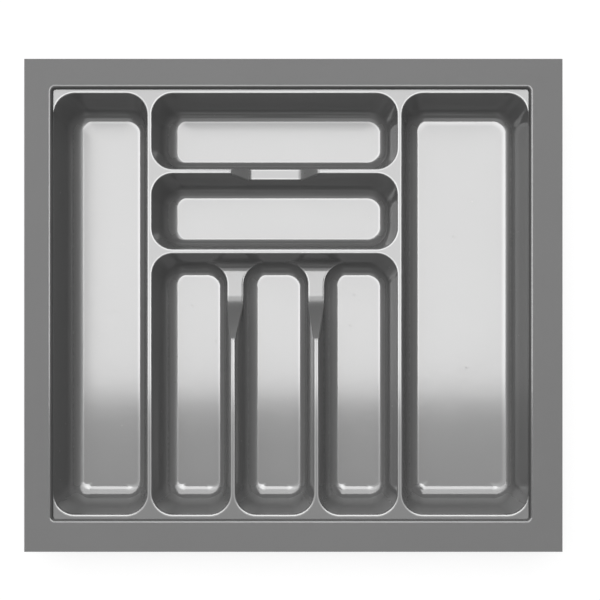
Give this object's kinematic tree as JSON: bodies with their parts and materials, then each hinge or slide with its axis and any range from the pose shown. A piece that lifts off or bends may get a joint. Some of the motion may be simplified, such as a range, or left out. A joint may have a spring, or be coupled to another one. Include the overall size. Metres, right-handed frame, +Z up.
{
  "type": "cutlery tray",
  "caption": "Drawer insert with long, crosswise and narrow drafted bays for cutlery, finger notches in the dividers, a glossy deck and a wide flat matt rim",
  "frame": {"origin": "middle of the tray's outline, on the plane of the bay floors' undersides, where the tray stands", "axes": "+X across the drawer to the right, +Y towards the back of the drawer, +Z up"},
  "size_m": [0.535, 0.49, 0.05],
  "materials": {
    "tray_plastic": "silver-grey, high gloss",
    "rim_plastic": "grey, fine matt"
  },
  "bodies": {
    "root": {"left_tub": "tray_plastic", "upper_back_tub": "tray_plastic", "upper_front_tub": "tray_plastic", "lower_left_tub": "tray_plastic", "lower_middle_tub": "tray_plastic", "lower_right_tub": "tray_plastic", "right_tub": "tray_plastic", "upper_saddle": "tray_plastic", "lower_left_saddle": "tray_plastic", "lower_right_saddle": "tray_plastic", "divider_deck": "tray_plastic", "rim_frame": "rim_plastic"}
  },
  "joints": []
}
